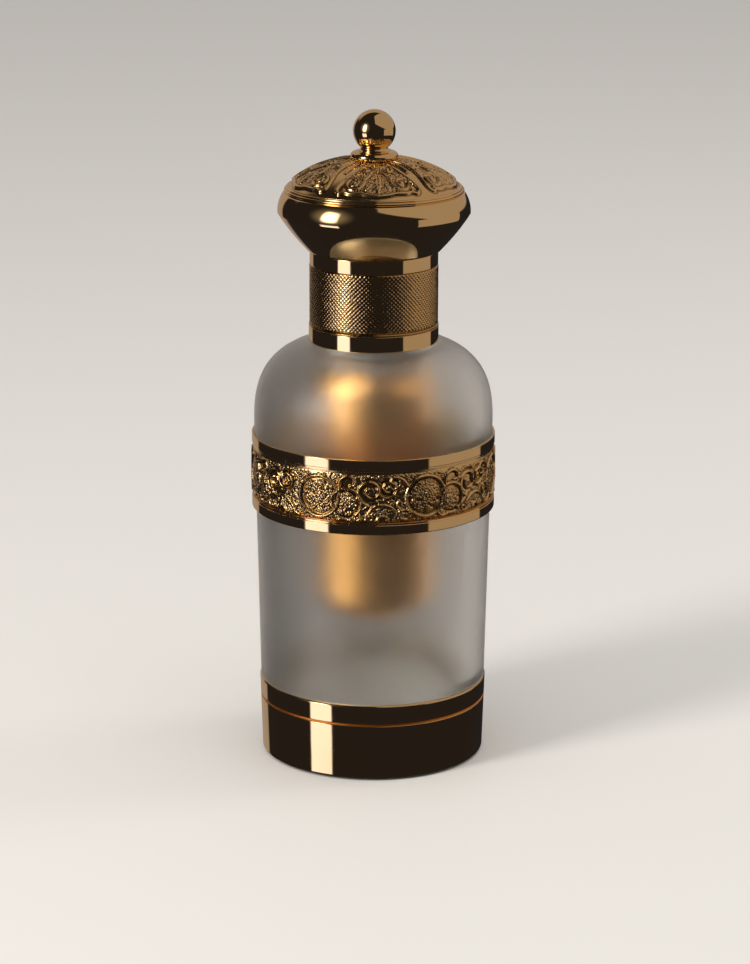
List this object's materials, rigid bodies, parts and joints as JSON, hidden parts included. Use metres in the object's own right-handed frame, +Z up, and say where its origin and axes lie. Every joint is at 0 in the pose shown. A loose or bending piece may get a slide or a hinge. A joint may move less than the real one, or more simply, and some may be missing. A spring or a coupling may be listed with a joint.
{
  "type": "perfume bottle",
  "caption": "Refillable perfume bottle: frosted outer glass over a gold inner bottle, relief band, knurled screw collar with spray pump, and a domed pull-off cap with ball finial.",
  "frame": {"origin": "centre of the underside of the foot pad, on the surface the bottle stands on", "axes": "+Z up the bottle's axis towards the finial; the spray nozzle faces -Y"},
  "size_m": [0.047, 0.047, 0.1266],
  "materials": {
    "frosted_glass": "acid-etched satin frost, slightly milky",
    "gold_lacquered_glass": "glass lacquered with bright metallic gold",
    "gold_metal": "mirror-polished champagne gold plate",
    "antique_gold": "gold plate over cast relief, slightly darker in the recesses",
    "knurled_gold": "fine diamond knurl, gold plated",
    "steel": "bright stainless",
    "zinc": "as-cast zinc alloy",
    "white_plastic": "moulded polypropylene",
    "pump_plastic": "natural translucent polypropylene",
    "elastomer": "soft silicone",
    "pad": "thin dark foam pad"
  },
  "bodies": {
    "bottle": {"outer_glass": "frosted_glass", "inner_bottle": "gold_lacquered_glass", "neck_washer": "elastomer", "neck_nut": "gold_metal", "base_cup": "gold_metal", "base_plug": "white_plastic", "foot_pad": "pad", "band_lower_hoop": "gold_metal", "band_relief": "antique_gold", "band_upper_hoop": "gold_metal"},
    "gasket": {"pump_gasket": "elastomer"},
    "pump": {"pump_housing": "pump_plastic", "pump_turret": "white_plastic", "dip_tube": "pump_plastic"},
    "ball": {"check_ball": "steel"},
    "stem": {"pump_stem": "white_plastic", "pump_piston": "white_plastic", "pump_spring": "steel"},
    "actuator": {"actuator_core": "white_plastic", "actuator_skin": "gold_metal", "spray_nozzle": "white_plastic"},
    "collar": {"collar_core": "white_plastic", "collar_lower_ring": "gold_metal", "knurled_sleeve": "knurled_gold", "collar_upper_ring": "gold_metal", "cap_grip_ring": "elastomer"},
    "cap": {"cap_liner": "white_plastic", "cap_weight": "zinc", "cap_bowl": "gold_metal", "cap_bead": "gold_metal", "cap_dome": "antique_gold", "finial_flange": "gold_metal", "finial_ball": "gold_metal", "finial_nut": "steel"}
  },
  "joints": [
    {"name": "pump_draw", "type": "slide", "parent": "bottle", "child": "gasket", "axis": [0, 0, 1], "range_m": [0, 0.07]},
    {"name": "thread_rise", "type": "slide", "parent": "gasket", "child": "pump", "axis": [0, 0, 1], "range_m": [0, 0.0045]},
    {"name": "collar_turn", "type": "hinge", "parent": "pump", "child": "collar", "pos_m": [0, 0, 0.09], "axis": [0, 0, 1], "range_deg": [0, 540]},
    {"name": "cap_lift", "type": "slide", "parent": "collar", "child": "cap", "axis": [0, 0, 1], "range_m": [0, 0.035]},
    {"name": "spray_press", "type": "slide", "parent": "pump", "child": "stem", "axis": [0, 0, -1], "range_m": [0, 0.0043], "stiffness_N_per_m": 1500, "springref_m": -0.003, "deforming": ["pump_spring"]},
    {"name": "actuator_turn", "type": "hinge", "parent": "stem", "child": "actuator", "pos_m": [0, 0, 0.106], "axis": [0, 0, 1], "continuous": true},
    {"name": "check_ball_lift", "type": "slide", "parent": "pump", "child": "ball", "axis": [0, 0, 1], "range_m": [0, 0.0008]}
  ],
  "couplings": [
    {"joint": "thread_rise", "follows": "collar_turn", "m_per_rad": 0.00047746}
  ]
}
